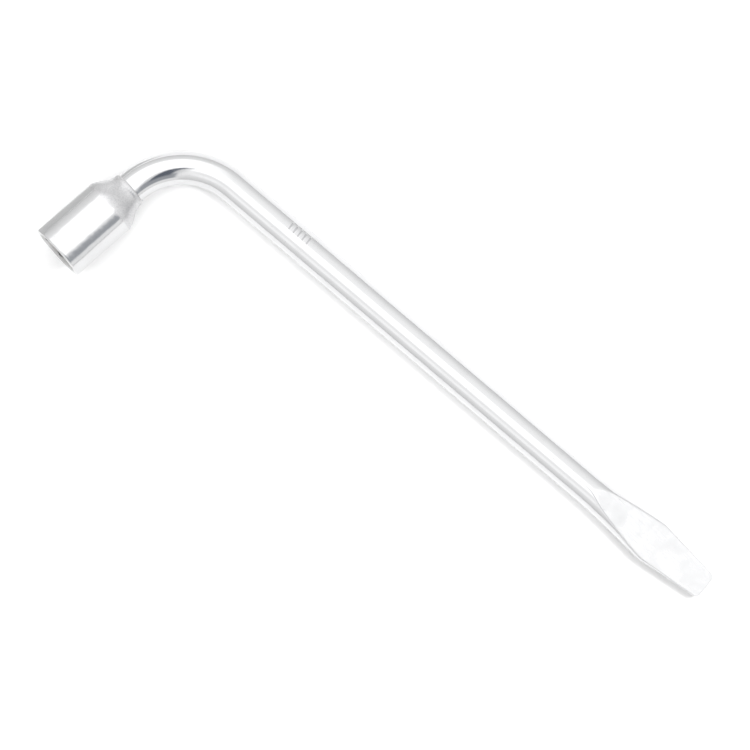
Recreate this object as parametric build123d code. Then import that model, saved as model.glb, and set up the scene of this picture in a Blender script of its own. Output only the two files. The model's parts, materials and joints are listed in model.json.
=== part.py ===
"""L-shaped lug wrench: a bent round bar with a flattened pry blade at one end and, welded on its
short arm, a hexagonal wheel-nut socket.

Units are millimetres. The wrench is drawn flat, with the corner of its two centre lines at the
origin, the long arm along +X and the short arm towards -Y, and is then laid down as it lies on
a bench: the bar rests along its length and the barrel of the socket, which is thicker, touches
with its inner edge. The finished part has +Z up, its lowest point at Z = 0 and the middle of its
box at X = Y = 0.
"""
from build123d import *
import os
from math import acos, atan2, cos, degrees, hypot, radians, sin, sqrt, tan

# --- bar ---------------------------------------------------------------------------------------
BAR_DIAMETER = 16.0          # round stock
BEND_ANGLE = 97.0            # between the long and the short arm, degrees
BEND_RADIUS = 35.5           # of the bar's centre line
LONG_ARM = 323.0             # corner of the centre lines to the tip of the blade

# --- pry blade, forged flat out of the bar -----------------------------------------------------
BLADE_LENGTH = 74.0          # where the bar starts to spread, back from the tip
BLADE_WIDEST = 33.0          # where the blade is widest, back from the tip
BLADE_WIDTH = 21.0           # at its widest
BLADE_THICKNESS = 5.2        # at its widest
TIP_WIDTH = 12.9
TIP_THICKNESS = 2.8
TIP_CORNER_RADIUS = 2.0
TIP_CUT_MARGIN = 0.02        # keeps the corner cut's straight sides off the blade's own edges
FLAT_LEAD = 0.2              # height of the flats over the bar where the spreading starts
FLAT_EASE = 0.15             # share of the slope over which each end of it is drawn out
FLARE_POWER = 1.6            # how late the bar spreads; 1 is a straight flare
FLARE_SECTIONS = 5           # sections from the round bar to the widest place

# --- wheel-nut socket --------------------------------------------------------------------------
NUT_ACROSS_FLATS = 19.0
NUT_CLEARANCE = 0.2          # of the hexagon over the nut, across flats
HEX_DEPTH = 17.0
CORNER_WALL = 2.9            # metal outside the corners of the hexagon
STUD_LEDGE = 0.6             # step from the hexagon's flats in to the stud bore
BARREL_LENGTH = 31.5
SHOULDER_LENGTH = 12.0
SHOULDER_SOFTNESS = 0.42     # share of the shoulder over which each end of its curve is drawn out
NECK_LIP = 1.0               # how far the neck stands out round the bar
MOUTH_CHAMFER = 0.8          # outer rim
MOUTH_LEAD_IN = 0.5          # inner rim, how far it opens past the corners of the hexagon
BORE_POINT_ANGLE = 118.0     # drill point at the bottom of the stud bore, degrees

# --- joint of bar and socket -------------------------------------------------------------------
SPIGOT_STEP = 2.0            # how much smaller in radius the bar's spigot is than the bar
SPIGOT_LENGTH = 8.0
SPIGOT_CLEARANCE = 0.05      # round the spigot
SPIGOT_END_GAP = 0.5         # past the spigot's end
SPIGOT_CHAMFER = 0.6
SOCKET_WEB = 5.0             # metal between the stud bore and the spigot's bore
WELD_LENGTH = 2.4            # of the weld bead along the bar
WELD_TO_BEND = 1.2           # straight bar left between the bead and the bend

# --- sizes that follow -------------------------------------------------------------------------
bar_radius = BAR_DIAMETER / 2
turn = 180.0 - BEND_ANGLE
bend_run = BEND_RADIUS * tan(radians(turn) / 2)
hex_flats = NUT_ACROSS_FLATS + NUT_CLEARANCE
hex_corner_radius = hex_flats / sqrt(3)
barrel_radius = hex_corner_radius + CORNER_WALL
lead_in_radius = hex_corner_radius + MOUTH_LEAD_IN
stud_radius = hex_flats / 2 - STUD_LEDGE
neck_radius = bar_radius + NECK_LIP
spigot_radius = bar_radius - SPIGOT_STEP
socket_length = BARREL_LENGTH + SHOULDER_LENGTH
stud_depth = socket_length - SPIGOT_LENGTH - SPIGOT_END_GAP - SOCKET_WEB
stud_point = stud_radius / tan(radians(BORE_POINT_ANGLE) / 2)
neck_run = bend_run + WELD_TO_BEND + WELD_LENGTH
short_arm = neck_run + socket_length

to_socket = Vector(cos(radians(BEND_ANGLE)), -sin(radians(BEND_ANGLE)), 0)
neck_plane = Plane(origin=to_socket * neck_run, x_dir=(0, 0, 1), z_dir=to_socket)
mouth_plane = Plane(origin=to_socket * short_arm, x_dir=(0, 0, 1), z_dir=-to_socket)


def oval_section(x, half_width):
    """One section across the spreading bar: an oval as high as the bar and as wide as asked."""
    across = Plane(origin=(x, 0, 0), x_dir=(0, 1, 0), z_dir=(1, 0, 0))
    return Wire([Edge.make_ellipse(half_width, bar_radius, across)])


def spread_bar():
    """The end of the bar as it spreads sideways and narrows again, before it is flattened."""
    start = LONG_ARM - BLADE_LENGTH
    run = BLADE_LENGTH - BLADE_WIDEST
    sections = []
    for step in range(FLARE_SECTIONS):
        share = step / (FLARE_SECTIONS - 1)
        spread = (BLADE_WIDTH / 2 - bar_radius) * share ** FLARE_POWER
        sections.append(oval_section(start + run * share, bar_radius + spread))
    flare = Solid.make_loft(sections)
    taper = Solid.make_loft([sections[-1], oval_section(LONG_ARM, TIP_WIDTH / 2)], ruled=True)
    return flare + taper


def flats():
    """Space between the two flats: a slope down from the bar with eased ends, then a taper."""
    start = LONG_ARM - BLADE_LENGTH
    widest = LONG_ARM - BLADE_WIDEST
    top = bar_radius + FLAT_LEAD
    thick = BLADE_THICKNESS / 2
    thin = TIP_THICKNESS / 2
    ease = (widest - start) * FLAT_EASE
    drop = (thick - thin) / BLADE_WIDEST * ease
    upper = Bezier((start, top), (start + ease, top), (widest - ease, thick + drop),
                   (widest, thick))
    lower = Bezier((widest, -thick), (widest - ease, -thick - drop), (start + ease, -top),
                   (start, -top))
    tip = Polyline((widest, thick), (LONG_ARM, thin), (LONG_ARM, -thin), (widest, -thick))
    side = make_face(upper + tip + lower + Line((start, -top), (start, top)))
    return extrude(Plane.XZ * side, BLADE_WIDTH, both=True)


def tip_outline():
    """Plan of the blade's end, which rounds the two corners of its tip."""
    start = LONG_ARM - BLADE_LENGTH
    widest = LONG_ARM - BLADE_WIDEST
    wide = BLADE_WIDTH / 2 + TIP_CUT_MARGIN
    narrow = TIP_WIDTH / 2 + TIP_CUT_MARGIN
    plan = make_face(Polyline((start, -wide), (widest, -wide), (LONG_ARM, -narrow),
                              (LONG_ARM, narrow), (widest, wide), (start, wide), close=True))
    corners = plan.vertices().filter_by(lambda corner: corner.X > LONG_ARM - TIP_CORNER_RADIUS)
    return extrude(fillet(corners, TIP_CORNER_RADIUS), BAR_DIAMETER, both=True)


def pry_blade():
    """The end of the bar, spread, flattened and rounded at the corners of its tip."""
    return spread_bar() & flats() & tip_outline()


def handle_bar():
    """Bent bar with its spigot at one end and the forged pry blade at the other."""
    long_plane = Plane(origin=(bend_run, 0, 0), x_dir=(0, 1, 0), z_dir=(1, 0, 0))
    long_length = LONG_ARM - BLADE_LENGTH - bend_run
    long_run = extrude(long_plane * Circle(bar_radius), long_length)
    bend = revolve(long_plane * Circle(bar_radius), Axis((bend_run, -BEND_RADIUS, 0), (0, 0, 1)),
                   turn)
    end_plane = Plane(origin=to_socket * bend_run, x_dir=(0, 0, 1), z_dir=to_socket)
    short_run = extrude(end_plane * Circle(bar_radius), neck_run - bend_run)
    pin = extrude(Circle(spigot_radius), SPIGOT_LENGTH)
    pin = chamfer(pin.edges().group_by(Axis.Z)[-1], SPIGOT_CHAMFER)
    bar = long_run + bend + short_run + neck_plane * pin
    return bar + pry_blade()


def wheel_nut_socket():
    """Turned socket: round barrel, curved shoulder and neck, bored for nut, stud and spigot."""
    draw = SHOULDER_LENGTH * SHOULDER_SOFTNESS
    shoulder = Bezier((barrel_radius, BARREL_LENGTH), (barrel_radius, BARREL_LENGTH + draw),
                      (neck_radius + NECK_LIP, socket_length - draw), (neck_radius, socket_length))
    outline = Polyline((neck_radius, socket_length), (0, socket_length), (0, 0),
                       (barrel_radius - MOUTH_CHAMFER, 0), (barrel_radius, MOUTH_CHAMFER),
                       (barrel_radius, BARREL_LENGTH))
    half = Plane.XZ * make_face(outline + shoulder)
    body = revolve(half, Axis.Z, 360)

    nut_space = extrude(RegularPolygon(hex_corner_radius, 6), HEX_DEPTH)
    stud_half = make_face(Polyline((0, 0), (stud_radius, 0), (stud_radius, stud_depth - stud_point),
                                   (0, stud_depth), close=True))
    stud_space = revolve(Plane.XZ * stud_half, Axis.Z, 360)
    lead_in = Cone(lead_in_radius, hex_flats / 2, lead_in_radius - hex_flats / 2,
                   align=(Align.CENTER, Align.CENTER, Align.MIN))
    spigot_depth = SPIGOT_LENGTH + SPIGOT_END_GAP
    spigot_space = Pos(0, 0, socket_length - spigot_depth) * extrude(
        Circle(spigot_radius + SPIGOT_CLEARANCE), spigot_depth)
    return mouth_plane * (body - nut_space - stud_space - lead_in - spigot_space)


def weld_bead():
    """Ring of weld in the corner between the neck of the socket and the bar."""
    bulge = NECK_LIP / 3
    crown = ThreePointArc((neck_radius, 0),
                          (bar_radius + NECK_LIP / 2 + bulge, WELD_LENGTH / 2 + bulge),
                          (bar_radius, WELD_LENGTH))
    legs = Polyline((bar_radius, WELD_LENGTH), (bar_radius, 0), (neck_radius, 0))
    ring = revolve(Plane.XZ * make_face(crown + legs), Axis.Z, 360)
    bend_side = Plane(origin=neck_plane.origin, x_dir=(0, 0, 1), z_dir=-to_socket)
    return bend_side * ring


def resting_roll():
    """Roll about the bar, in degrees, that brings the barrel's inner edge down to the bench."""
    reach = (neck_run + SHOULDER_LENGTH) * sin(radians(BEND_ANGLE))
    roll = acos(bar_radius / hypot(barrel_radius, reach)) - atan2(reach, barrel_radius)
    return abs(degrees(roll))


def resting_place(pieces):
    """Where the flat wrench goes to lie on the bench with its box centred over the origin."""
    roll = Rot(-resting_roll(), 0, 0)
    box = Compound([roll * piece for piece in pieces]).bounding_box()
    centre = box.center()
    return Pos(-centre.X, -centre.Y, -box.min.Z) * roll


def main():
    """Build every piece, lay the wrench down and write one STEP file per piece."""
    os.makedirs("parts", exist_ok=True)
    pieces = {"handle_bar": handle_bar(),
              "wheel_nut_socket": wheel_nut_socket(),
              "weld_bead": weld_bead()}
    place = resting_place(list(pieces.values()))
    for name, piece in pieces.items():
        export_step(place * piece, f"parts/{name}.step")


main()
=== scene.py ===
"""Chrome-plated lug wrench: a bent round bar with a forged pry blade, and a wheel-nut socket
welded on its short arm.

The pieces are shaped in millimetres on the flat wrench, whose centre lines cross at the origin,
with the long arm along +X, the short arm towards -Y and +Z up. Layout then lays each mesh where
the frame has it, in metres.
"""
import json
import logging
from collections.abc import Callable, Mapping, Sequence
from dataclasses import dataclass, field
from enum import Enum
from math import acos, cos, pi, radians, sin, sqrt, tan
from typing import Any, Union

import bpy
from mathutils import Euler, Matrix, Vector, noise


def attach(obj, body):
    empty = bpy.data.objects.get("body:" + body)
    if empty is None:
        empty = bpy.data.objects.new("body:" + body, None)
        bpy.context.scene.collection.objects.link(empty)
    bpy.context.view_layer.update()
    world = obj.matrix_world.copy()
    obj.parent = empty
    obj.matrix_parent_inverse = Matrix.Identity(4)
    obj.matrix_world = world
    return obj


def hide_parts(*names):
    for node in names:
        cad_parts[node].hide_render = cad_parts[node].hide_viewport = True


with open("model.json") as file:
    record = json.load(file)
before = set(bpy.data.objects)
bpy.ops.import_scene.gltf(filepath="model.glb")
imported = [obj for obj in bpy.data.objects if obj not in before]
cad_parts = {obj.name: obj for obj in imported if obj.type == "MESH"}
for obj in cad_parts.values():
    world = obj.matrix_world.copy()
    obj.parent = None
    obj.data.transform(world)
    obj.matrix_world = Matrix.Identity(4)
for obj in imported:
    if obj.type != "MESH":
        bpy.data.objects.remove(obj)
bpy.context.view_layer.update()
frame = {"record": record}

log = logging.getLogger("lug_wrench")

Colour = tuple[float, float, float]
Number = Union[float, "Signal"]
Span = tuple[tuple[float, float], tuple[float, float]]

MILLIMETRE = 0.001
BODY = "root"


def add_object(name: str, data: Any) -> bpy.types.Object:
    """Make an object of some data and put it in the scene.

    Args:
        name: the name of the object.
        data: its mesh, lamp or camera.

    Returns:
        The object.
    """
    made = bpy.data.objects.new(name, data)
    bpy.context.scene.collection.objects.link(made)
    return made


# --- node trees --------------------------------------------------------------------------------
def arithmetic(operation: str, swapped: bool = False) -> Callable[["Signal", Number], "Signal"]:
    """Make the method that stands for one sign of arithmetic.

    Args:
        operation: what the Math node does.
        swapped: whether the other value comes first.

    Returns:
        The method.
    """
    def method(self: "Signal", other: Number) -> "Signal":
        """Add the Math node."""
        return self.graph.math(operation, *((other, self) if swapped else (self, other)))
    return method


class Signal:
    """A value that runs through a node tree. Arithmetic on it adds Math nodes."""

    def __init__(self, graph: "Graph", socket: bpy.types.NodeSocket) -> None:
        """Wrap the output socket of a node in graph."""
        self.graph = graph
        self.socket = socket

    __add__, __radd__ = arithmetic("ADD"), arithmetic("ADD", True)
    __sub__, __rsub__ = arithmetic("SUBTRACT"), arithmetic("SUBTRACT", True)
    __mul__, __rmul__ = arithmetic("MULTIPLY"), arithmetic("MULTIPLY", True)
    __truediv__, __rtruediv__ = arithmetic("DIVIDE"), arithmetic("DIVIDE", True)
    __pow__ = arithmetic("POWER")

    def __abs__(self) -> "Signal":
        """This value without its sign."""
        return self.graph.math("ABSOLUTE", self)

    def between(self, low: float, high: float) -> "Signal":
        """This value held between low and high."""
        return self.graph.math("MINIMUM", self.graph.math("MAXIMUM", self, low), high)

    def ease(self, start: float, stop: float, shape: str = "SMOOTHSTEP") -> "Signal":
        """Turn this value into a share from 0 to 1.

        Args:
            start: the value at which the share is 0.
            stop: the value at which the share is 1, above or below start.
            shape: how the share grows in between, as Map Range names it.

        Returns:
            The share.
        """
        made = self.graph.node("ShaderNodeMapRange", {"interpolation_type": shape},
                               {0: self, 1: start, 2: stop})
        return Signal(self.graph, made.outputs[0])


class Graph:
    """A node tree, and the one method that adds nodes to it."""

    def __init__(self, tree: bpy.types.NodeTree) -> None:
        """Take an empty tree."""
        self.tree = tree

    @classmethod
    def of(cls, owner: bpy.types.Material | bpy.types.World) -> "Graph":
        """Empty the node tree of a material or a world, and take it."""
        owner.use_nodes = True
        owner.node_tree.nodes.clear()
        return cls(owner.node_tree)

    def node(self, kind: str, settings: Mapping[str, Any] | None = None,
             inputs: Mapping[str | int, Any] | None = None) -> bpy.types.Node:
        """Add one node.

        Args:
            kind: Blender's name for the type of node.
            settings: the node's own properties, set before its sockets. "stops" is a ramp's
                list of places and greys.
            inputs: what each input gets, by its name or number: a value, a Signal or a socket.

        Returns:
            The new node.
        """
        made = self.tree.nodes.new(kind)
        for name, value in (settings or {}).items():
            if name == "stops":
                self._place_stops(made.color_ramp, value)
            else:
                setattr(made, name, value)
        for key, value in (inputs or {}).items():
            target = made.inputs[key]
            if isinstance(value, Signal):
                self.tree.links.new(value.socket, target)
            elif isinstance(value, bpy.types.NodeSocket):
                self.tree.links.new(value, target)
            else:
                target.default_value = value
        return made

    @staticmethod
    def _place_stops(ramp: bpy.types.ColorRamp, stops: Sequence[tuple[float, float]]) -> None:
        """Give a colour ramp its grey stops.

        Args:
            ramp: a new ramp, which has two stops.
            stops: the place and the grey of each stop, in order.
        """
        while len(ramp.elements) < len(stops):
            ramp.elements.new(1.0)
        for element, (place, grey) in zip(ramp.elements, stops):
            element.position = place
            element.color = (grey, grey, grey, 1.0)

    def out(self, kind: str, settings: Mapping[str, Any] | None = None,
            inputs: Mapping[str | int, Any] | None = None, output: str | int = 0) -> Signal:
        """Add one node as node() does, and wrap one of its outputs.

        Args:
            kind: Blender's name for the type of node.
            settings: the node's own properties.
            inputs: what each input gets.
            output: the name or number of the output that is wanted.

        Returns:
            That output.
        """
        return Signal(self, self.node(kind, settings, inputs).outputs[output])

    def math(self, operation: str, *values: Number) -> Signal:
        """Add one Math node that works on values, in order."""
        return self.out("ShaderNodeMath", {"operation": operation}, dict(enumerate(values)))

    def vector(self, x: Number, y: Number, z: Number) -> Signal:
        """Join three values to a vector."""
        return self.out("ShaderNodeCombineXYZ", None, {0: x, 1: y, 2: z})

    def parts(self, vector: Signal) -> tuple[Signal, Signal, Signal]:
        """Split a vector into its three values."""
        split = self.node("ShaderNodeSeparateXYZ", None, {0: vector})
        return tuple(Signal(self, socket) for socket in split.outputs)

    def stored(self, name: str, output: str = "Fac") -> Signal:
        """Read a value that the mesh holds on its points, in a material."""
        return self.out("ShaderNodeAttribute", {"attribute_name": name}, None, output)

    def stretch(self, vector: Signal, x: float, y: float, z: float) -> Signal:
        """Multiply the three values of a vector."""
        return self.out("ShaderNodeVectorMath", {"operation": "MULTIPLY"},
                        {0: vector, 1: (x, y, z)})

    def grain(self, vector: Signal, scale: float = 1.0, detail: float = 2.0,
              distortion: float = 0.0) -> Signal:
        """Add noise from 0 to 1.

        Args:
            vector: where the noise is read, in millimetres.
            scale: how many grains there are in a millimetre.
            detail: how many finer layers there are.
            distortion: how much the grains are stirred.

        Returns:
            The noise, which is about 0.5 on average.
        """
        return self.out("ShaderNodeTexNoise", None,
                        {"Vector": vector, "Scale": scale, "Detail": detail,
                         "Distortion": distortion})

    def tint(self, share: Number, first: Any, second: Any) -> Signal:
        """Mix two colours: first where share is 0, second where it is 1."""
        return self.out("ShaderNodeMix", {"data_type": "RGBA"},
                        {0: share, 6: first, 7: second}, 2)


class ShapeTree(Graph):
    """A geometry tree with named inputs, and the mesh that comes out of it."""

    def __init__(self, name: str) -> None:
        """Make an empty tree that takes and gives a geometry."""
        super().__init__(bpy.data.node_groups.new(name, "GeometryNodeTree"))
        self.chosen: dict[str, Any] = {}
        face = self.tree.interface
        face.new_socket("Start", in_out="INPUT", socket_type="NodeSocketGeometry")
        face.new_socket("Shape", in_out="OUTPUT", socket_type="NodeSocketGeometry")
        self.entry = self.node("NodeGroupInput")

    @property
    def start(self) -> Signal:
        """The geometry that the tree is given."""
        return Signal(self, self.entry.outputs["Start"])

    def given(self, name: str, value: Any) -> Signal:
        """Add a named input to the tree.

        Args:
            name: what the input is called.
            value: what it is set to, a number, a whole number or a material.

        Returns:
            The input, for use inside the tree.
        """
        kinds = {int: "NodeSocketInt", float: "NodeSocketFloat"}
        kind = kinds.get(type(value), "NodeSocketMaterial")
        socket = self.tree.interface.new_socket(name, in_out="INPUT", socket_type=kind)
        self.chosen[socket.identifier] = value
        return Signal(self, self.entry.outputs[name])

    def kept(self, shape: Signal, name: str, value: Signal, kind: str = "FLOAT") -> Signal:
        """Store a value on every point of a shape.

        Args:
            shape: the geometry.
            name: what the value is called on the mesh.
            value: the value.
            kind: its type, as Store Named Attribute names it.

        Returns:
            The geometry with the value on it.
        """
        return self.out("GeometryNodeStoreNamedAttribute", {"data_type": kind},
                        {"Geometry": shape, "Name": name, "Value": value})

    def read(self, name: str, kind: str = "FLOAT") -> Signal:
        """Read a value that is stored on the points."""
        return self.out("GeometryNodeInputNamedAttribute", {"data_type": kind}, {"Name": name})

    def close(self, shape: Signal, finish: bpy.types.Material) -> None:
        """End the tree: smooth shading, real geometry, and its finish.

        Args:
            shape: the geometry that is wanted.
            finish: the material that covers it.
        """
        smooth = self.out("GeometryNodeSetShadeSmooth", None, {"Geometry": shape})
        real = self.out("GeometryNodeRealizeInstances", None, {0: smooth})
        dressed = self.out("GeometryNodeSetMaterial", None,
                           {"Geometry": real, "Material": self.given("Finish", finish)})
        self.node("NodeGroupOutput", None, {0: dressed})

    def grow(self, name: str, start: bpy.types.Mesh) -> bpy.types.Mesh:
        """Run the tree on a mesh and keep the result as a plain mesh.

        Args:
            name: the name of the new mesh.
            start: the mesh that the tree is given.

        Returns:
            The new mesh.
        """
        holder = add_object(name + "_start", start)
        modifier = holder.modifiers.new(name, "NODES")
        modifier.node_group = self.tree
        for identifier, value in self.chosen.items():
            modifier[identifier] = value
        done = holder.evaluated_get(bpy.context.evaluated_depsgraph_get())
        mesh = bpy.data.meshes.new_from_object(done)
        mesh.name = name
        holder.modifiers.remove(modifier)
        bpy.data.objects.remove(holder)
        return mesh


# --- where the wrench lies ---------------------------------------------------------------------
@dataclass(frozen=True)
class Layout:
    """Where the flat wrench lies in the frame, and what its two centre lines measure."""

    corner: Vector          # crossing of the two centre lines, metres
    along: Vector           # from the corner to the blade
    out: Vector             # from the corner to the socket's mouth
    long_arm: float         # corner to the tip of the blade, millimetres
    short_arm: float        # corner to the mouth of the socket, millimetres

    @classmethod
    def from_record(cls, record: Mapping[str, Any]) -> "Layout":
        """Find the two centre lines from the socket's mount and the blade's.

        Args:
            record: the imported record.

        Returns:
            The layout.
        """
        mounts = {mount["name"]: mount for mount in record["mounts"]}
        tip, mouth = (Vector(mounts[name]["pos_m"]) for name in ("pry_blade", "nut_socket"))
        along, out = (Vector(mounts[name]["axis"]).normalized()
                      for name in ("pry_blade", "nut_socket"))
        between, lean = mouth - tip, along.dot(out)
        back = (between.dot(out) * lean - between.dot(along)) / (1 - lean * lean)
        corner = tip - along * back
        reach = (mouth - corner).dot(out)
        return cls(corner, along, out, back / MILLIMETRE, reach / MILLIMETRE)

    @property
    def turn(self) -> float:
        """How far the bar is bent from straight, in radians."""
        return pi - acos(self.along.dot(self.out))

    @property
    def to_socket(self) -> Vector:
        """The short arm's direction on the flat wrench."""
        return Vector((-cos(self.turn), -sin(self.turn), 0.0))

    @property
    def matrix(self) -> Matrix:
        """What takes the flat wrench, in millimetres, to the frame, in metres."""
        up = self.out.cross(self.along).normalized()
        side = up.cross(self.along)
        turned = Matrix((self.along, side, up)).transposed().to_4x4()
        return Matrix.Translation(self.corner) @ turned @ Matrix.Scale(MILLIMETRE, 4)

    def on_short_arm(self, distance: float, sense: float) -> Matrix:
        """Axes on the short arm: +X up, and +Z along the arm.

        Args:
            distance: how far from the corner the axes are, in millimetres.
            sense: 1 for +Z towards the mouth, -1 for +Z towards the bend.

        Returns:
            What takes those axes to the flat wrench.
        """
        ahead = self.to_socket * sense
        up = Vector((0.0, 0.0, 1.0))
        turned = Matrix((up, ahead.cross(up), ahead)).transposed().to_4x4()
        return Matrix.Translation(self.to_socket * distance) @ turned

    def place(self, name: str, mesh: bpy.types.Mesh, node: str, slot: str) -> bpy.types.Object:
        """Lay a finished mesh in the frame and make it stand for its CAD node.

        Args:
            name: the name of the piece.
            mesh: the mesh, on the flat wrench and in millimetres.
            node: the CAD node that the piece stands for.
            slot: the record's material slot; not used.

        Returns:
            The piece.
        """
        mesh.transform(self.matrix)
        piece = add_object(name, mesh)
        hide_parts(node)
        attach(piece, BODY)
        log.info("%s: %d points, %d faces", name, len(mesh.vertices), len(mesh.polygons))
        return piece


# --- finishes ----------------------------------------------------------------------------------
class Grain(Enum):
    """Which way the tools left their marks, as the pattern's scale along each axis."""

    DRAWN = (0.025, 2.2, 2.2)     # long lines down the bar
    TURNED = (0.05, 0.05, 3.0)    # rings round the socket
    POURED = (0.6, 0.6, 0.6)      # no direction


@dataclass(frozen=True)
class Plating:
    """Chrome plate: how bright it is, and what shows through it."""

    name: str
    pattern: str                        # the mesh value that holds the pattern's coordinates
    grain: Grain
    colour: Colour = (0.63, 0.632, 0.638)
    # dark colour of the pits, and of the blade's rim, where it is partly wear and partly a painted
    # dark edge reflection
    pit_wear_and_shade_colour: Colour = (0.46, 0.46, 0.465)
    roughness: float = 0.07
    mottle: float = 0.08                # added to the roughness where the plate is dull
    line_roughness: float = 0.05        # added to it on the tool marks
    peel_depth: float = 0.004           # millimetres
    line_depth: float = 0.0012          # millimetres
    pits: float = 0.35                  # how dark the pits are
    haze: float = 0.97                  # share of its brightness that dull plate keeps

    def material(self) -> bpy.types.Material:
        """Build the finish.

        Returns:
            The material.
        """
        made = bpy.data.materials.new(self.name)
        graph = Graph.of(made)
        where = graph.stored(self.pattern, "Vector")
        lines = graph.grain(graph.stretch(where, *self.grain.value), 1.0, 4.0)
        dull = graph.grain(where, 0.11, 4.0, 0.6).ease(0.42, 0.72)
        pits = self.pit_mask(graph, where)
        colour, rough = self.surface(graph, where, lines, dull)
        colour = graph.tint(pits * self.pits, colour, (*self.pit_wear_and_shade_colour, 1.0))
        height = (graph.grain(where, 0.55, 2.0) * self.peel_depth + lines * self.line_depth
                  - pits * self.peel_depth)
        bump = graph.out("ShaderNodeBump", None,
                         {"Height": height, "Distance": MILLIMETRE, "Strength": 1.0})
        shader = graph.out("ShaderNodeBsdfPrincipled", None,
                           {"Base Color": colour, "Metallic": 1.0,
                            "Roughness": rough + pits * 0.15, "Normal": bump})
        graph.node("ShaderNodeOutputMaterial", None, {"Surface": shader})
        return made

    @staticmethod
    def pit_mask(graph: Graph, where: Signal) -> Signal:
        """Scatter small pits in the plate, more of them in some places than in others.

        Args:
            graph: the material's tree.
            where: the pattern's coordinates.

        Returns:
            1 in a pit and 0 elsewhere.
        """
        cells = graph.node("ShaderNodeTexVoronoi", None, {"Vector": where, "Scale": 0.75})
        near = Signal(graph, cells.outputs["Distance"]).ease(0.30, 0.14)
        chance = graph.out("ShaderNodeSeparateColor", None, {0: cells.outputs["Color"]})
        return near * chance.ease(0.80, 0.95) * graph.grain(where, 0.05, 2.0).ease(0.4, 0.6)

    def surface(self, graph: Graph, where: Signal, lines: Signal,
                dull: Signal) -> tuple[Signal, Signal]:
        """Colour and roughness of the plate before its pits.

        Args:
            graph: the material's tree.
            where: the pattern's coordinates; not used here.
            lines: the tool marks, from 0 to 1.
            dull: 1 where the plate is dull.

        Returns:
            The colour and the roughness.
        """
        hazy = tuple(part * self.haze for part in self.colour)
        colour = graph.tint(dull, (*self.colour, 1.0), (*hazy, 1.0))
        return colour, self.roughness + dull * self.mottle + lines * self.line_roughness


@dataclass(frozen=True)
class BarPlating(Plating):
    """Plate on the bar, with the ground faces of the blade and the stamped mark."""

    ground_roughness: float = 0.16      # added on the flats of the blade
    # painted shade in the stamped strokes: its colour, and how far the strokes take it
    recess_shade_colour: Colour = (0.40, 0.40, 0.41)
    recess_shade_share: float = 0.7           # how far the strokes take that colour

    def surface(self, graph: Graph, where: Signal, lines: Signal,
                dull: Signal) -> tuple[Signal, Signal]:
        """Colour and roughness, duller on the blade's flats, with painted shade in the stamped
        strokes and a darker rim on the blade that is partly wear and partly painted edge shade.

        Args:
            graph: the material's tree.
            where: the pattern's coordinates.
            lines: the tool marks, from 0 to 1.
            dull: 1 where the plate is dull.

        Returns:
            The colour and the roughness.
        """
        colour, rough = super().surface(graph, where, lines, dull)
        ground = graph.stored("ground")
        stamped = graph.stored("stamped")
        rim_wear_and_shade = graph.stored("rim_wear_and_shade")
        scuffs = graph.grain(graph.stretch(where, 0.15, 1.6, 0.4), 1.0, 5.0).ease(0.45, 0.75)
        # painted shade: the blade's rim is darkened, partly by wear and partly as a painted dark
        # reflection along the edge
        colour = graph.tint(rim_wear_and_shade * (0.45 + scuffs * 0.45), colour, (*self.pit_wear_and_shade_colour, 1.0))
        # painted shade: the stamped strokes are darkened to stand for the shade in their recesses
        colour = graph.tint(stamped * self.recess_shade_share, colour, (*self.recess_shade_colour, 1.0))
        rough = rough + ground * (self.ground_roughness + scuffs * 0.05)
        return colour, rough + rim_wear_and_shade * scuffs * 0.12 + stamped * 0.25


@dataclass(frozen=True)
class SocketPlating(Plating):
    """Plate on the socket: bright on the barrel, satin on the shoulder, none in the hexagon."""

    satin_start: float = 30.6           # depth where the shoulder's satin starts
    satin_full: float = 33.6            # depth where it is complete
    satin_roughness: float = 0.20       # added on the shoulder
    satin_colour: Colour = (0.62, 0.62, 0.625)
    speckle_colour: Colour = (0.53, 0.53, 0.54)
    bare_colour: Colour = (0.34, 0.335, 0.325)
    soot_colour: Colour = (0.25, 0.245, 0.235)
    bare_roughness: float = 0.30        # added inside

    def surface(self, graph: Graph, where: Signal, lines: Signal,
                dull: Signal) -> tuple[Signal, Signal]:
        """Colour and roughness by zone, from the mouth to the neck and inside.

        Args:
            graph: the material's tree.
            where: the pattern's coordinates, with the depth from the mouth as the third.
            lines: the tool marks, from 0 to 1.
            dull: 1 where the plate is dull.

        Returns:
            The colour and the roughness.
        """
        colour, rough = super().surface(graph, where, lines, dull)
        depth = graph.parts(where)[2]
        inside = graph.stored("inside")
        speckle = graph.grain(where, 1.6, 3.0).ease(0.38, 0.66)
        edge = graph.grain(where, 0.35, 3.0) * 2.4 - 1.2
        satin = (depth + edge).ease(self.satin_start, self.satin_full)
        satin_colour = graph.tint(speckle, (*self.satin_colour, 1.0), (*self.speckle_colour, 1.0))
        colour = graph.tint(satin, colour, satin_colour)
        bare = graph.tint(graph.grain(where, 0.5, 4.0), (*self.bare_colour, 1.0),
                          (*self.soot_colour, 1.0))
        colour = graph.tint(inside, colour, bare)
        rough = rough + satin * (self.satin_roughness + speckle * 0.10)
        return colour, rough + inside * self.bare_roughness


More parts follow.
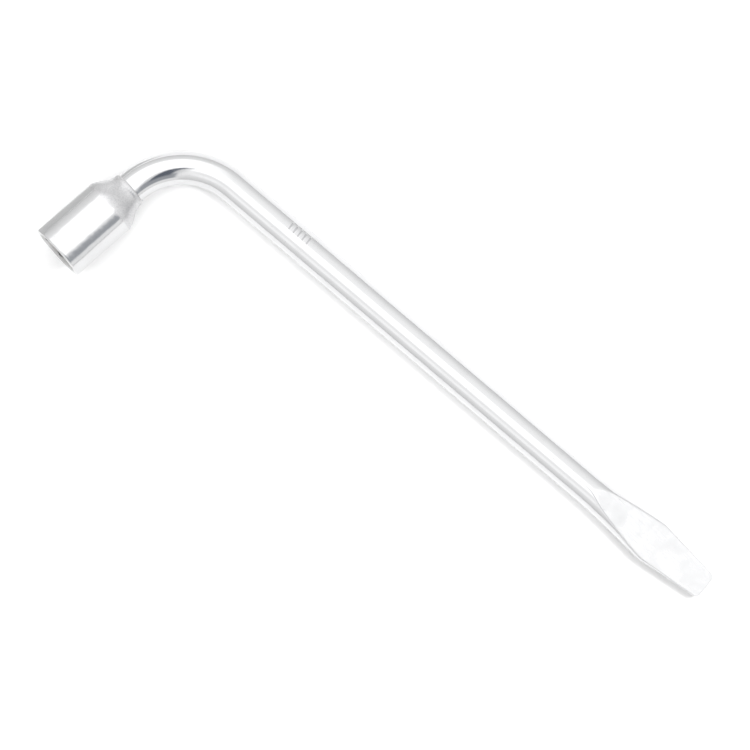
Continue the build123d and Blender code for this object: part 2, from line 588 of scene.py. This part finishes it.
# --- the bar -----------------------------------------------------------------------------------
@dataclass
class HandleBar:
    """Bent round bar with a spigot in the socket at one end and the pry blade at the other."""

    layout: Layout
    radius: float = 8.0
    bend_radius: float = 35.5
    neck_run: float = 35.01             # corner to the socket's neck
    spigot_radius: float = 6.0
    spigot_length: float = 8.0
    spigot_chamfer: float = 0.6
    blade_length: float = 74.0          # where the bar starts to spread, back from the tip
    blade_widest: float = 33.0          # back from the tip
    blade_width: float = 21.0
    blade_thickness: float = 5.2
    tip_width: float = 12.9
    tip_thickness: float = 2.8
    tip_corner: float = 2.0
    tip_edge: float = 0.35              # rounding of the tip's edges
    flat_lead: float = 0.2              # height of the flats over the bar where they start
    flat_ease: float = 0.15             # share of the slope over which each end is drawn out
    flat_blend: float = 1.3             # how softly the slope's ends join on
    flare_power: float = 1.6
    stamp_middle: float = 70.6          # from the corner
    stamp_lean: float = radians(19)     # round from the top, towards the outside of the bend
    stamp_pitch: float = 2.7
    stamp_strokes: int = 5
    stamp_height: float = 3.7
    stamp_depth: float = 0.22
    stamp_slant: float = 0.08
    waviness: float = 0.05              # how deep the bar's long hollows are
    ring_gap: float = 0.012             # rings closer than this are left out
    ring_points: int = 224
    finish: Plating = field(default_factory=lambda: BarPlating(
        "bright_plate", "straight", Grain.DRAWN))

    @property
    def bend_run(self) -> float:
        """Corner to the start of the bend, along either arm."""
        return self.bend_radius * tan(self.layout.turn / 2)

    @property
    def neck(self) -> float:
        """Where the neck is, measured along the centre line so that the tip is at long_arm."""
        arc = self.bend_radius * self.layout.turn
        return self.bend_run - arc - (self.neck_run - self.bend_run)

    def centre(self, along: float) -> Vector:
        """Find a point of the bar's centre line.

        Args:
            along: distance along the line; on the long arm it is the distance from the corner.

        Returns:
            The point.
        """
        past = self.bend_run - along
        if past <= 0:
            return Vector((along, 0.0, 0.0))
        angle = min(past / self.bend_radius, self.layout.turn)
        hub = Vector((self.bend_run, -self.bend_radius, 0.0))
        rim = hub + Vector((-sin(angle), cos(angle), 0.0)) * self.bend_radius
        beyond = max(past - self.bend_radius * self.layout.turn, 0.0)
        return rim + self.layout.to_socket * beyond

    def stations(self) -> list[tuple[float, float]]:
        """List where the bar has a ring, closer together where its shape is finer.

        Returns:
            The distance along the centre line and the radius of each ring.
        """
        tip = self.layout.long_arm
        bend_end = self.bend_run - self.bend_radius * self.layout.turn
        stamp = self.stamp_pitch * (self.stamp_strokes / 2 + 0.5)
        rings = [(self.neck - self.spigot_length, self.spigot_radius - self.spigot_chamfer),
                 (self.neck - self.spigot_length + self.spigot_chamfer, self.spigot_radius),
                 (self.neck - 0.02, self.spigot_radius)]
        spans = ((self.neck, bend_end, 0.9), (bend_end, self.bend_run, 0.8),
                 (self.bend_run, self.stamp_middle - stamp, 2.0),
                 (self.stamp_middle - stamp, self.stamp_middle + stamp, 0.16),
                 (self.stamp_middle + stamp, tip - self.blade_length, 2.5),
                 (tip - self.blade_length, tip - self.tip_corner, 0.7))
        for start, stop, step in spans:
            count = round((stop - start) / step)
            rings += [(start + (stop - start) * share / count, self.radius)
                      for share in range(count)]
        for rounding, count in ((self.tip_corner, 8), (self.tip_edge, 6)):
            rings += [(tip - rounding + rounding * sin(pi / 2 * share / count), self.radius)
                      for share in range(count + 1)]
        rings = sorted(set(rings))
        kept = [ring for ring, after in zip(rings, rings[1:])
                if after[0] - ring[0] > self.ring_gap]
        return kept + [rings[-1]]

    def path(self) -> bpy.types.Mesh:
        """Lay the ring stations out as a line of points.

        Returns:
            A mesh of points and edges, with the distance and radius on each point.
        """
        rings = self.stations()
        line = bpy.data.meshes.new("bar_line")
        line.from_pydata([self.centre(along) for along, _ in rings],
                         [(index, index + 1) for index in range(len(rings) - 1)], [])
        for name, values in (("along", [along for along, _ in rings]),
                             ("girth", [radius for _, radius in rings])):
            line.attributes.new(name, "FLOAT", "POINT").data.foreach_set("value", values)
        return line

    def ring(self, tree: ShapeTree) -> Signal:
        """Make the circle that is swept along the line, with its points closer at the stamp.

        Args:
            tree: the bar's tree.

        Returns:
            The circle, of radius 1, with its points' places stored on it.
        """
        count = tree.given("Ring points", self.ring_points)
        circle = tree.out("GeometryNodeCurvePrimitiveCircle", None, {0: count})
        even = tree.out("GeometryNodeInputIndex") * (2 * pi) / count
        mark = pi / 2 - self.stamp_lean
        angle = even - tree.math("SINE", even - mark) * 0.5
        place = tree.vector(0.0 - tree.math("COSINE", angle), 0.0 - tree.math("SINE", angle), 0.0)
        circle = tree.out("GeometryNodeSetPosition", None, {"Geometry": circle, "Position": place})
        return tree.kept(circle, "around", place, "FLOAT_VECTOR")

    def forge(self, tree: ShapeTree, bar: Signal) -> Signal:
        """Spread and flatten the end of the bar to the pry blade.

        Args:
            tree: the bar's tree.
            bar: the round bar.

        Returns:
            The bar with its blade, and the ground places and the rim stored on it; the rim carries
            wear and painted edge shade.
        """
        radius = tree.given("Bar radius", self.radius)
        tip = tree.given("Tip", self.layout.long_arm)
        widest = tip - tree.given("Widest from tip", self.blade_widest)
        half_width = tree.given("Blade half width", self.blade_width / 2)
        half_thick = tree.given("Blade half thickness", self.blade_thickness / 2)
        tip_half_width = tree.given("Tip half width", self.tip_width / 2)
        tip_half_thick = tree.given("Tip half thickness", self.tip_thickness / 2)

        x, y, z = tree.parts(tree.out("GeometryNodeInputPosition"))
        start = self.layout.long_arm - self.blade_length
        middle = self.layout.long_arm - self.blade_widest
        share = tree.math("MAXIMUM", (x - start) / (middle - start), 0.0)
        past = (x - widest) / self.blade_widest
        flare = radius + (half_width - radius) * share ** self.flare_power
        taper = half_width - (half_width - tip_half_width) * past
        width = tree.math("SMOOTH_MIN", flare, taper, 0.35) - self.rounding(tree, x,
                                                                            self.tip_corner)
        thin = half_thick - (half_thick - tip_half_thick) * past
        flatness = x.ease(start, middle, "SMOOTHERSTEP")
        top = radius + self.flat_lead
        down = ((x - start) / (middle - start) - self.flat_ease / 2) / (1 - self.flat_ease)
        slope = tree.math("SMOOTH_MIN", top - (top - half_thick) * down, top, self.flat_blend)
        height = (tree.math("SMOOTH_MAX", slope, thin, self.flat_blend)
                  - self.rounding(tree, x, self.tip_edge))
        softness = 0.3 + flatness * 0.6
        lower = tree.math("SMOOTH_MAX", z, 0.0 - height, softness)
        place = tree.vector(x, y * width / radius,
                            tree.math("SMOOTH_MIN", lower, height, softness))
        ground = (abs(z) - height).ease(-0.1, 0.5)
        rim = abs(z) - height
        # the rim of the flats, where wear and a painted dark edge reflection are laid
        rim_wear_and_shade = rim.ease(-1.2, 0.0) * rim.ease(1.6, 0.2) * flatness
        bar = tree.kept(bar, "ground", ground)
        bar = tree.kept(bar, "rim_wear_and_shade", rim_wear_and_shade)
        return tree.out("GeometryNodeSetPosition", None, {"Geometry": bar, "Position": place})

    def rounding(self, tree: ShapeTree, x: Signal, size: float) -> Signal:
        """How far an edge draws in near the tip to be round.

        Args:
            tree: the bar's tree.
            x: distance from the corner.
            size: the radius of the rounding.

        Returns:
            The distance that the edge draws in.
        """
        into = (x - (self.layout.long_arm - size)).between(0.0, size)
        return size - tree.math("SQRT", tree.math("MAXIMUM", size * size - into * into, 0.0))

    def stamp(self, tree: ShapeTree) -> Signal:
        """Short strokes struck across the bar, in a row along its side.

        Args:
            tree: the bar's tree.

        Returns:
            1 at the bottom of a stroke and 0 on the plain bar.
        """
        x = tree.parts(tree.read("straight", "FLOAT_VECTOR"))
        mark = pi / 2 - self.stamp_lean
        angle = tree.math("ARCTAN2", x[2], x[1]) - mark
        across = angle * self.radius
        lean = x[0] - self.stamp_middle - across * self.stamp_slant
        beat = tree.math("WRAP", lean + self.stamp_pitch / 2, self.stamp_pitch, 0.0)
        aside = abs(beat - self.stamp_pitch / 2)
        beyond = tree.math("MAXIMUM", abs(across) - self.stamp_height / 2, 0.0)
        distance = tree.math("SQRT", aside * aside + beyond * beyond)
        inside_row = abs(lean).ease(self.stamp_pitch * self.stamp_strokes / 2 + 0.02,
                                    self.stamp_pitch * self.stamp_strokes / 2 - 0.02)
        return distance.ease(0.52, 0.12) * inside_row

    def build(self) -> bpy.types.Object:
        """Sweep, forge and stamp the bar, and place it.

        Returns:
            The finished piece.
        """
        tree = ShapeTree("handle_bar_shape")
        line = tree.out("GeometryNodeMeshToCurve", None, {"Mesh": tree.start})
        bar = tree.out("GeometryNodeCurveToMesh", None,
                       {"Curve": line, "Profile Curve": self.ring(tree),
                        "Scale": tree.read("girth"), "Fill Caps": True})
        around = tree.parts(tree.read("around", "FLOAT_VECTOR"))
        straight = tree.vector(tree.read("along"), around[0] * -self.radius,
                               around[1] * -self.radius)
        bar = tree.kept(bar, "straight", straight, "FLOAT_VECTOR")
        bar = self.forge(tree, bar)
        bar = tree.kept(bar, "stamped", self.stamp(tree))
        hollows = tree.grain(tree.stretch(tree.read("straight", "FLOAT_VECTOR"), 1.0, 1.6, 1.6),
                             0.07, 2.0)
        depth = hollows * self.waviness + tree.read("stamped") * self.stamp_depth
        inward = tree.out("ShaderNodeVectorMath", {"operation": "SCALE"},
                          {0: tree.out("GeometryNodeInputNormal"), "Scale": 0.0 - depth})
        bar = tree.out("GeometryNodeSetPosition", None, {"Geometry": bar, "Offset": inward})
        tree.close(bar, self.finish.material())
        mesh = tree.grow("handle_bar_piece", self.path())
        return self.layout.place("bent_bar", mesh, "handle_bar", "plated_bar")


# --- the socket --------------------------------------------------------------------------------
@dataclass(frozen=True)
class Ring:
    """One ring of the socket's surface."""

    depth: float                # from the mouth
    radius: float               # round radius, or the least radius where the ring is hexagonal
    hexagonal: bool = False
    inside: float = 0.0         # 1 where the steel is bare
    uneven: float = 0.0         # how far the surface wanders inwards


@dataclass
class WheelNutSocket:
    """Round barrel with a hexagon in its mouth and a curved shoulder down to the bar."""

    layout: Layout
    hex_flats: float = 19.2
    hex_depth: float = 17.0
    hex_corner_cut: float = 0.2         # how far the hexagon's corners are rounded off
    corner_wall: float = 2.9
    stud_ledge: float = 0.6
    barrel_length: float = 31.5
    shoulder_length: float = 12.0
    shoulder_softness: float = 0.42
    neck_radius: float = 9.0
    neck_lip: float = 1.0
    mouth_rounding: float = 0.9
    mouth_lead_in: float = 0.5
    bore_point_angle: float = radians(118)
    web: float = 5.0
    spigot_bore: float = 6.05
    spigot_depth: float = 8.5
    ring_points: int = 288
    finish: Plating = field(default_factory=lambda: SocketPlating(
        "turned_plate", "turned", Grain.TURNED, roughness=0.10, mottle=0.07,
        peel_depth=0.006, line_depth=0.0016))

    @property
    def corner_radius(self) -> float:
        """Radius through the hexagon's sharp corners."""
        return self.hex_flats / sqrt(3)

    @property
    def barrel_radius(self) -> float:
        """Outer radius of the barrel."""
        return self.corner_radius + self.corner_wall

    @property
    def length(self) -> float:
        """Mouth to neck."""
        return self.barrel_length + self.shoulder_length

    def bore_rings(self) -> list[Ring]:
        """Rings from the drill point of the stud bore out to the mouth.

        Returns:
            The rings, deepest first.
        """
        stud = self.hex_flats / 2 - self.stud_ledge
        bottom = self.length - self.spigot_depth - self.web
        point = stud / tan(self.bore_point_angle / 2)
        lead_in = self.corner_radius + self.mouth_lead_in
        lead_depth = lead_in - self.hex_flats / 2
        rings = [Ring(bottom - point * share / 8, stud * share / 8, False, 1.0)
                 for share in range(1, 9)]
        rings += [Ring(bottom - point - (bottom - point - self.hex_depth) * share / 6, stud,
                       False, 1.0) for share in range(1, 6)]
        rings.append(Ring(self.hex_depth, stud, False, 1.0))
        rings += [Ring(self.hex_depth - (self.hex_depth - lead_depth) * share / 20, 0.0, True, 1.0)
                  for share in range(21)]
        rings += [Ring(lead_depth * (1 - share / 18), lead_in - lead_depth * (1 - share / 18),
                       True, 1.0 - share / 24) for share in range(1, 19)]
        return rings

    def shoulder(self, share: float) -> tuple[float, float]:
        """Find a point of the shoulder's curve.

        Args:
            share: from 0 at the barrel to 1 at the neck.

        Returns:
            The radius and the depth.
        """
        draw = self.shoulder_length * self.shoulder_softness
        poles = ((self.barrel_radius, self.barrel_length),
                 (self.barrel_radius, self.barrel_length + draw),
                 (self.neck_radius + self.neck_lip, self.length - draw),
                 (self.neck_radius, self.length))
        weights = ((1 - share) ** 3, 3 * share * (1 - share) ** 2,
                   3 * share ** 2 * (1 - share), share ** 3)
        return tuple(sum(weight * pole[axis] for weight, pole in zip(weights, poles))
                     for axis in (0, 1))

    def shell_rings(self) -> list[Ring]:
        """Rings from the mouth's face over the outside to the bottom of the spigot's bore.

        Returns:
            The rings, in order.
        """
        rim = self.barrel_radius - self.mouth_rounding
        face = self.corner_radius + self.mouth_lead_in
        rings = [Ring(0.0, face + (rim - face) * share / 5, False, 0.25 - 0.25 * share / 5)
                 for share in range(1, 6)]
        rings += [Ring(self.mouth_rounding * (1 - cos(pi / 2 * share / 8)),
                       rim + self.mouth_rounding * sin(pi / 2 * share / 8), False, 0.0,
                       0.03 * share / 8) for share in range(1, 9)]
        run = self.barrel_length - self.mouth_rounding
        rings += [Ring(self.mouth_rounding + run * share / 56, self.barrel_radius, False, 0.0, 0.07)
                  for share in range(1, 57)]
        for share in range(1, 41):
            radius, depth = self.shoulder(share / 40)
            rings.append(Ring(depth, radius, False, 0.0, 0.07 + 0.03 * share / 40))
        bore_end = self.length - self.spigot_depth
        rings += [Ring(self.length, self.neck_radius - 0.4), Ring(self.length, self.spigot_bore),
                  Ring(self.length - self.spigot_depth / 2, self.spigot_bore, False, 1.0),
                  Ring(bore_end, self.spigot_bore, False, 1.0),
                  Ring(bore_end, self.spigot_bore / 2, False, 1.0)]
        return rings

    def point(self, ring: Ring, angle: float) -> Vector:
        """Find a point of a ring.

        Args:
            ring: the ring.
            angle: round from the hexagon's first corner, in radians.

        Returns:
            The point, on the socket's own axes.
        """
        radius = ring.radius
        if ring.hexagonal:
            flat = self.hex_flats / 2 / cos(angle % (pi / 3) - pi / 6)
            radius = max(min(flat, self.corner_radius - self.hex_corner_cut), radius)
        place = Vector((radius * cos(angle), radius * sin(angle), ring.depth))
        if ring.uneven:
            wander = noise.noise(place * 0.22) * 0.6 + noise.noise(place * 0.55) * 0.4
            radius -= ring.uneven * (0.5 + 0.5 * wander)
            place = Vector((radius * cos(angle), radius * sin(angle), ring.depth))
        return place

    def build(self) -> bpy.types.Object:
        """Join the rings to one closed surface, dress it and place it.

        Returns:
            The finished piece.
        """
        rings = self.bore_rings() + self.shell_rings()
        count = self.ring_points
        points = [self.point(ring, 2 * pi * step / count) for ring in rings
                  for step in range(count)]
        inside = [ring.inside for ring in rings for _ in range(count)]
        faces = [(base + step, base + (step + 1) % count, base + count + (step + 1) % count,
                  base + count + step)
                 for base in range(0, (len(rings) - 1) * count, count) for step in range(count)]
        first, last = len(points), len(points) + 1
        bore_bottom = self.length - self.spigot_depth - self.web
        points += [Vector((0, 0, bore_bottom)), Vector((0, 0, self.length - self.spigot_depth))]
        inside += [1.0, 1.0]
        end = (len(rings) - 1) * count
        faces += [(first, (step + 1) % count, step) for step in range(count)]
        faces += [(last, end + step, end + (step + 1) % count) for step in range(count)]
        mesh = bpy.data.meshes.new("wheel_nut_socket_piece")
        mesh.from_pydata(points, [], faces)
        mesh.attributes.new("turned", "FLOAT_VECTOR", "POINT").data.foreach_set(
            "vector", [value for point in points for value in point])
        mesh.attributes.new("inside", "FLOAT", "POINT").data.foreach_set("value", inside)
        mesh.shade_smooth()
        mesh.set_sharp_from_angle(angle=radians(38))
        mesh.materials.append(self.finish.material())
        mesh.transform(self.layout.on_short_arm(self.layout.short_arm, -1.0))
        return self.layout.place("nut_socket", mesh, "wheel_nut_socket", "plated_socket")


# --- the weld ----------------------------------------------------------------------------------
@dataclass
class WeldBead:
    """Ring of weld in the corner between the socket's neck and the bar."""

    layout: Layout
    neck_run: float = 35.01
    ring_radius: float = 8.15
    lift: float = 0.85                  # middle of the bead from the neck
    half_length: float = 1.45
    half_height: float = 0.72
    ripple: float = 0.05
    ripples: int = 46
    finish: Plating = field(default_factory=lambda: Plating(
        "satin_plate", "turned", Grain.POURED, colour=(0.58, 0.58, 0.585), roughness=0.34,
        mottle=0.12, peel_depth=0.012, line_depth=0.004))

    def build(self) -> bpy.types.Object:
        """Bend a grid to the rippled bead, dress it and place it.

        Returns:
            The finished piece.
        """
        tree = ShapeTree("weld_bead_shape")
        radius = tree.given("Ring radius", self.ring_radius)
        half_length = tree.given("Half length", self.half_length)
        half_height = tree.given("Half height", self.half_height)
        ripples = tree.given("Ripples", self.ripples)
        sheet = tree.out("GeometryNodeMeshGrid", None,
                         {"Size X": 2 * pi, "Size Y": 2 * pi, "Vertices X": 369,
                          "Vertices Y": 33})
        turn, section, _ = tree.parts(tree.out("GeometryNodeInputPosition"))
        crest = tree.math("COSINE", section)
        chevron = tree.math("SINE", turn * ripples + crest * 1.6)
        wander = tree.grain(tree.vector(tree.math("COSINE", turn), tree.math("SINE", turn), 0.0),
                            1.4, 2.0) - 0.5
        swell = 1.0 + chevron * (self.ripple / self.half_height) + wander * 0.25
        out = radius + crest * half_height * swell
        rise = self.lift + tree.math("SINE", section) * half_length * (1.0 + wander * 0.2)
        place = tree.vector(out * tree.math("COSINE", turn), out * tree.math("SINE", turn), rise)
        bead = tree.out("GeometryNodeSetPosition", None, {"Geometry": sheet, "Position": place})
        bead = tree.out("GeometryNodeMergeByDistance", None, {"Geometry": bead,
                                                              "Distance": 0.001})
        bead = tree.kept(bead, "turned", tree.out("GeometryNodeInputPosition"), "FLOAT_VECTOR")
        tree.close(bead, self.finish.material())
        mesh = tree.grow("weld_bead_piece", bpy.data.meshes.new("weld_start"))
        mesh.transform(self.layout.on_short_arm(self.neck_run, -1.0))
        return self.layout.place("weld_ring", mesh, "weld_bead", "plated_weld")


# --- the studio --------------------------------------------------------------------------------
def hang_lamp(name: str, lamp: bpy.types.Light) -> bpy.types.Object:
    """Put a lamp in the scene, where neither the camera nor a reflection shows it.

    Args:
        name: the name of the light.
        lamp: its data.

    Returns:
        The light's object.
    """
    light = add_object(name, lamp)
    light.visible_camera = False
    light.visible_glossy = False
    return light


@dataclass(frozen=True)
class Softbox:
    """A studio light with a flat face, which neither the camera nor a reflection shows."""

    name: str
    place: tuple[float, float, float]   # metres
    aim: tuple[float, float]            # the point of the floor that it faces, metres
    size: tuple[float, float]           # metres
    brightness: float                   # of its face

    def hang(self) -> bpy.types.Object:
        """Make the light.

        Returns:
            The light's object.
        """
        lamp = bpy.data.lights.new(self.name, "AREA")
        lamp.shape = "RECTANGLE"
        lamp.size, lamp.size_y = self.size
        lamp.energy = self.brightness * pi * self.size[0] * self.size[1]
        light = hang_lamp(self.name, lamp)
        light.location = self.place
        ahead = Vector((*self.aim, 0.0)) - light.location
        light.rotation_euler = ahead.to_track_quat("-Z", "Y").to_euler()
        return light


@dataclass(frozen=True)
class Sky:
    """Even light from above, which neither the camera nor a reflection shows."""

    name: str
    width: float                        # degrees across
    strength: float                     # on the floor, watts per square metre

    def hang(self) -> bpy.types.Object:
        """Make the light.

        Returns:
            The light's object.
        """
        lamp = bpy.data.lights.new(self.name, "SUN")
        lamp.angle = radians(self.width)
        lamp.energy = self.strength
        return hang_lamp(self.name, lamp)


@dataclass(frozen=True)
class Patch:
    """Part of the room that is brighter or darker than the walls round it."""

    name: str
    azimuth: float                      # degrees, of its middle
    half_width: float                   # degrees of azimuth
    leans: tuple[float, float]          # from and to, degrees from straight up
    colour: Colour
    side_blur: float = 6.0              # degrees
    near_blur: float = 4.0              # degrees, at its higher end
    far_blur: float = 5.0               # degrees, at its lower end

    def paint(self, graph: Graph, walls: Signal, azimuth: Signal, lean: Signal) -> Signal:
        """Lay the patch over the room.

        Args:
            graph: the world's tree.
            walls: the room's colour so far.
            azimuth: the direction's azimuth, in radians.
            lean: the direction's angle from straight up, in radians.

        Returns:
            The room's colour with the patch.
        """
        aside = abs(graph.math("WRAP", azimuth - radians(self.azimuth), pi, -pi))
        share = self.edge(aside, self.half_width, -self.side_blur)
        share = share * self.edge(lean, self.leans[1], -self.far_blur)
        if self.leans[0] > 0:
            share = share * self.edge(lean, self.leans[0], self.near_blur)
        return graph.tint(share, walls, (*self.colour, 1.0))

    @staticmethod
    def edge(angle: Signal, place: float, blur: float) -> Signal:
        """A soft edge at place, in degrees, rising over blur, or falling where blur is negative."""
        return angle.ease(radians(place - blur / 2), radians(place + blur / 2))


@dataclass
class Studio:
    """White floor, soft lights, a room that only reflections show, and a camera overhead."""

    floor_half: float = 6.0                 # metres
    floor_white: float = 0.90
    card_grey: float = 0.50
    card_span: Span = ((-0.60, -0.184), (-0.14, 0.05))      # metres
    card_height: float = 0.0003             # metres
    camera_lens: float = 120.0              # millimetres
    camera_distance: float = 1.1845         # metres
    camera_tilt: float = radians(1.32)      # from straight down
    camera_turn: float = radians(40.35)     # of the picture about the vertical
    aim: tuple[float, float] = (-0.0097, 0.0103)
    exposure: float = 0.0
    room_brightness: float = 2.0
    walls: tuple[tuple[float, float], ...] = (
        (0.0, 0.45), (0.2, 0.50), (0.45, 0.575), (0.7, 0.66), (0.92, 0.70), (1.0, 0.72))
    patches: tuple[Patch, ...] = (
        Patch("overhead", 0.0, 181.0, (0.0, 21.0), (0.88, 0.88, 0.88)),
        Patch("window", 165.0, 58.0, (0.0, 56.0), (0.86, 0.86, 0.86), 16.0, 4.0, 8.0),
        Patch("end_glow", 28.0, 22.0, (0.0, 38.0), (0.88, 0.88, 0.88), 12.0),
        Patch("seam", -95.0, 38.0, (27.0, 36.0), (0.63, 0.63, 0.63), 12.0),
        Patch("side_glow", -95.0, 38.0, (40.0, 55.0), (0.72, 0.72, 0.72), 12.0),
        Patch("lintel", -18.0, 26.0, (11.0, 34.0), (0.57, 0.57, 0.57), 5.0),
        Patch("skirting", -18.0, 26.0, (72.0, 94.0), (0.57, 0.57, 0.57), 5.0),
        Patch("doorway", -15.0, 23.0, (36.0, 72.0), (0.23, 0.24, 0.255), 5.0, 26.0, 6.0),
        Patch("black_flag", -17.5, 13.0, (5.0, 47.0), (0.08, 0.09, 0.11), 3.0, 5.0, 14.0),
    )
    sky: Sky = Sky("sky", 130.0, 1.3)
    boxes: tuple[Softbox, ...] = (
        Softbox("key_box", (0.19, 0.17, 0.42), (0.12, 0.03), (0.10, 0.10), 32.0),
        Softbox("top_box", (-0.28, 0.0, 0.50), (-0.20, 0.0), (1.1, 1.1), 1.6),
        Softbox("end_box", (0.55, 0.0, 0.70), (0.10, 0.0), (0.7, 0.7), 0.35),
    )

    def sheet(self, name: str, span: Span, height: float, paint: bpy.types.Material
              ) -> bpy.types.Object:
        """Lay a flat sheet that belongs to the studio.

        Args:
            name: the name of the sheet.
            span: its least and greatest X, and its least and greatest Y, in metres.
            height: how high it lies, in metres.
            paint: what covers it.

        Returns:
            The sheet's object.
        """
        (left, right), (low, high) = span
        mesh = bpy.data.meshes.new(name)
        mesh.from_pydata([(left, low, height), (right, low, height), (right, high, height),
                          (left, high, height)], [], [(0, 1, 2, 3)])
        mesh.materials.append(paint)
        laid = add_object(name, mesh)
        return laid

    def floor(self) -> bpy.types.Object:
        """Lay the plain pale floor."""
        side = (-self.floor_half, self.floor_half)
        return self.sheet("floor", (side, side), 0.0, self.paint("white_floor", self.floor_white))

    def card(self) -> bpy.types.Object:
        """Lay a grey card beside the socket, which only reflections show; in them it stands partly
        for a grey surface beyond the floor and partly for painted shade of the floor.

        Returns:
            The card's object.
        """
        laid = self.sheet("grey_card", self.card_span, self.card_height,
                          self.paint("card_grey", self.card_grey))
        laid.visible_camera = False
        laid.visible_shadow = False
        laid.visible_diffuse = False
        return laid

    @staticmethod
    def paint(name: str, grey: float) -> bpy.types.Material:
        """Mix a matt grey paint.

        Args:
            name: the name of the material.
            grey: how light it is.

        Returns:
            The material.
        """
        made = bpy.data.materials.new(name)
        graph = Graph.of(made)
        shader = graph.out("ShaderNodeBsdfDiffuse", None, {"Color": (grey, grey, grey, 1.0)})
        graph.node("ShaderNodeOutputMaterial", None, {"Surface": shader})
        return made

    def room(self) -> None:
        """Surround the wrench with a pale room and its patches, which light nothing else."""
        world = bpy.data.worlds.new("room")
        graph = Graph.of(world)
        x, y, z = graph.parts(graph.out("ShaderNodeTexCoord", None, None, "Generated"))
        azimuth = graph.math("ARCTAN2", y, x)
        lean = graph.math("ARCCOSINE", z)
        walls = graph.out("ShaderNodeValToRGB", {"stops": self.walls}, {0: z})
        for patch in self.patches:
            walls = patch.paint(graph, walls, azimuth, lean)
        light = graph.out("ShaderNodeBackground", None,
                          {"Color": walls, "Strength": self.room_brightness})
        graph.node("ShaderNodeOutputWorld", None, {"Surface": light})
        bpy.context.scene.world = world
        world.cycles_visibility.diffuse = False

    def camera(self) -> None:
        """Hang the camera over the wrench."""
        lens = bpy.data.cameras.new("camera")
        lens.lens = self.camera_lens
        lens.sensor_width = 36.0
        lens.clip_start, lens.clip_end = 0.01, 50.0
        camera = add_object("camera", lens)
        turned = Euler((self.camera_tilt, 0.0, self.camera_turn))
        back = turned.to_matrix() @ Vector((0.0, 0.0, self.camera_distance))
        camera.location = Vector((*self.aim, 0.0)) + back
        camera.rotation_euler = turned
        bpy.context.scene.camera = camera

    def build(self) -> None:
        """Set up the floor, the room, the lights and the camera."""
        self.floor()
        self.card()
        self.room()
        for light in (self.sky, *self.boxes):
            light.hang()
        self.camera()
        view = bpy.context.scene.view_settings
        view.view_transform = "Standard"
        view.exposure = self.exposure
        log.info("studio: %d softboxes", len(self.boxes))


def main() -> None:
    """Build the studio and the wrench, piece by piece."""
    logging.basicConfig(level=logging.INFO, format="%(name)s: %(message)s")
    layout = Layout.from_record(frame["record"])
    log.info("arms: %.2f mm and %.2f mm, bent %.2f degrees", layout.long_arm, layout.short_arm,
             layout.turn * 180 / pi)
    Studio().build()
    for part in (HandleBar(layout), WheelNutSocket(layout), WeldBead(layout)):
        part.build()


if __name__ == "__main__":
    main()
